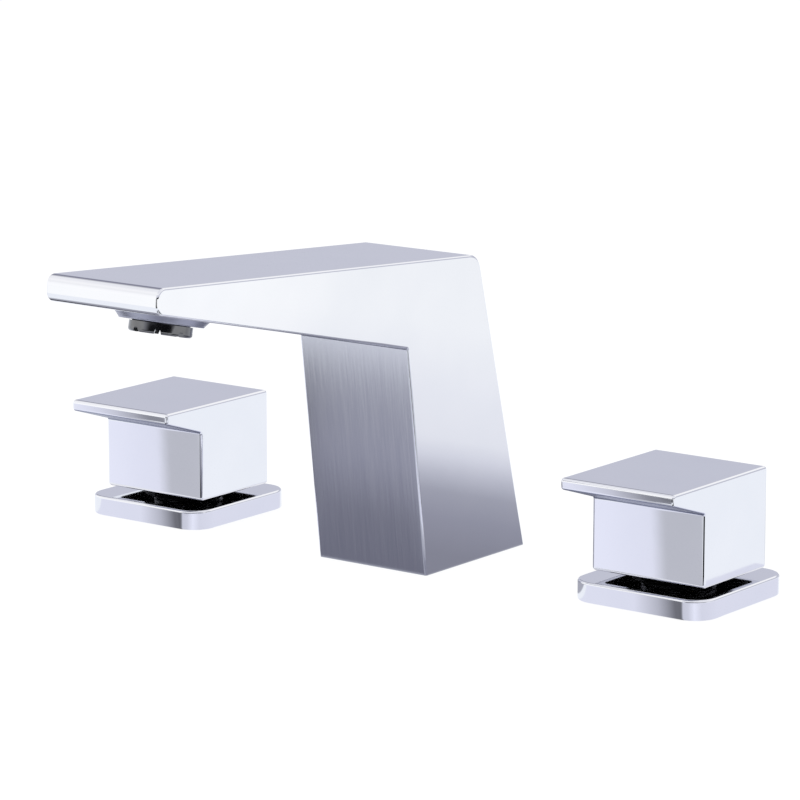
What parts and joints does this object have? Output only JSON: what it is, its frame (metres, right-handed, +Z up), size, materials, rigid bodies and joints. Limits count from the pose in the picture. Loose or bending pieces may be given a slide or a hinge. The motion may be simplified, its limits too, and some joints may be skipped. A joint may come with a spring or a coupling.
{
  "type": "widespread basin faucet",
  "caption": "Three-piece deck-mounted basin faucet: a leaning block spout between two square block handles that each turn a quarter.",
  "frame": {"origin": "on the top of the deck, on the axis of the spout's shank", "axes": "+X runs through the three deck holes towards the cold handle, -Y is the way the spout and the handles' lips point, +Z is up, away from the deck"},
  "size_m": [0.254, 0.1873, 0.1948],
  "materials": {
    "chrome": "polished chrome plate",
    "brass": "machined, unplated",
    "steel": "stainless, plain",
    "ceramic": "lapped alumina",
    "rubber": "matte black",
    "plastic": "moulded, dark grey",
    "white_plastic": "moulded, off-white"
  },
  "bodies": {
    "fixed_set": {"spout_body": "chrome", "aerator_housing": "plastic", "aerator_grid": "plastic", "aerator_insert": "white_plastic", "aerator_screen": "steel", "aerator_washer": "rubber", "spout_gasket": "rubber", "spout_shank": "brass", "spout_shank_o_ring": "rubber", "spout_deck_seal": "rubber", "spout_deck_washer": "steel", "spout_deck_nut": "brass", "spout_tee": "brass", "spout_tee_washer": "rubber", "hot_valve_body": "brass", "hot_cartridge": "brass", "hot_cartridge_o_ring": "rubber", "hot_fixed_disc": "ceramic", "hot_seat_seal": "rubber", "hot_escutcheon": "chrome", "hot_escutcheon_gasket": "rubber", "hot_escutcheon_nut": "plastic", "hot_deck_seal": "rubber", "hot_deck_washer": "steel", "hot_deck_nut": "brass", "cold_valve_body": "brass", "cold_cartridge": "brass", "cold_cartridge_o_ring": "rubber", "cold_fixed_disc": "ceramic", "cold_seat_seal": "rubber", "cold_escutcheon": "chrome", "cold_escutcheon_gasket": "rubber", "cold_escutcheon_nut": "plastic", "cold_deck_seal": "rubber", "cold_deck_washer": "steel", "cold_deck_nut": "brass"},
    "hot_turning_set": {"hot_handle": "chrome", "hot_set_screw": "steel", "hot_spline_adapter": "white_plastic", "hot_stem": "brass", "hot_stem_o_ring": "rubber", "hot_moving_disc": "ceramic"},
    "cold_turning_set": {"cold_handle": "chrome", "cold_set_screw": "steel", "cold_spline_adapter": "white_plastic", "cold_stem": "brass", "cold_stem_o_ring": "rubber", "cold_moving_disc": "ceramic"}
  },
  "joints": [
    {"name": "hot_handle_turn", "type": "hinge", "parent": "fixed_set", "child": "hot_turning_set", "pos_m": [-0.1016, 0, 0], "axis": [0, 0, 1], "range_deg": [0, 90]},
    {"name": "cold_handle_turn", "type": "hinge", "parent": "fixed_set", "child": "cold_turning_set", "pos_m": [0.1016, 0, 0], "axis": [0, 0, 1], "range_deg": [-90, 0]}
  ]
}
